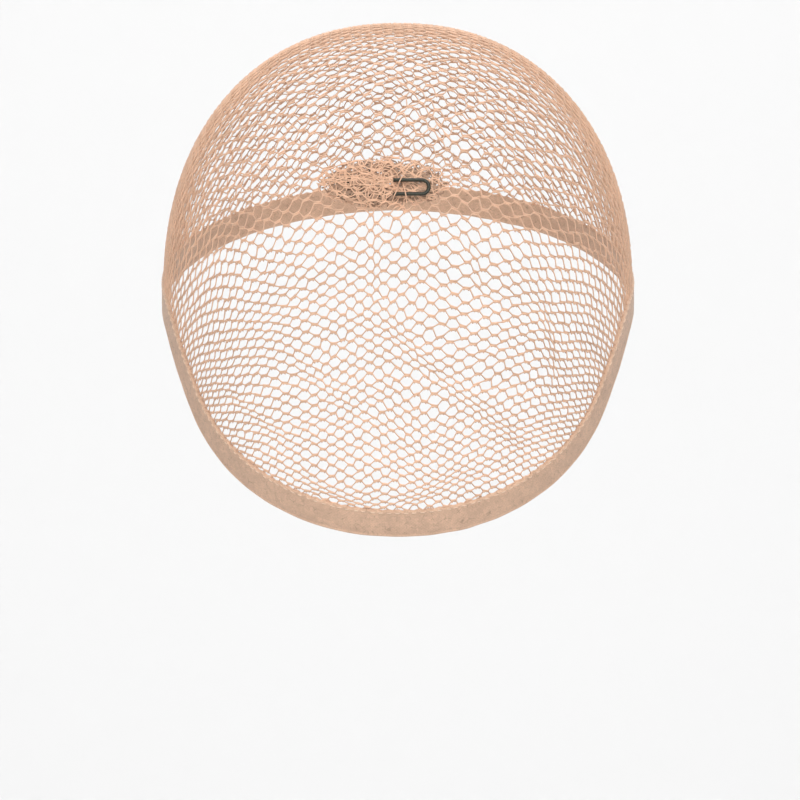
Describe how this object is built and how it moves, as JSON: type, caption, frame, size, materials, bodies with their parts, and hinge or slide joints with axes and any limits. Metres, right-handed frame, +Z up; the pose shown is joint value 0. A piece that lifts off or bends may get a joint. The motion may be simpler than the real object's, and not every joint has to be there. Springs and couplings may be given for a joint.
{
  "type": "wig cap with hair pin",
  "caption": "Stretch fishnet wig cap: a hollow hexagonal net dome on a flat elastic rim band, with a gathered tuck at the back of the crown held by a U-shaped wire hair pin.",
  "frame": {"origin": "highest point of the hollow, where the cap sits on the head", "axes": "+X towards the wearer's right, +Y towards the face, +Z up"},
  "size_m": [0.1602, 0.1914, 0.1722],
  "materials": {
    "net_thread": "knitted beige nylon thread",
    "elastic_band": "flat knitted beige elastic",
    "tuck_thread": "knitted beige nylon thread, doubled and gathered",
    "pin_wire": "dark olive-black enamelled wire"
  },
  "bodies": {
    "root": {"net_cap": "net_thread", "rim_band": "elastic_band", "gathered_tuck": "tuck_thread", "hair_pin": "pin_wire"}
  },
  "joints": []
}
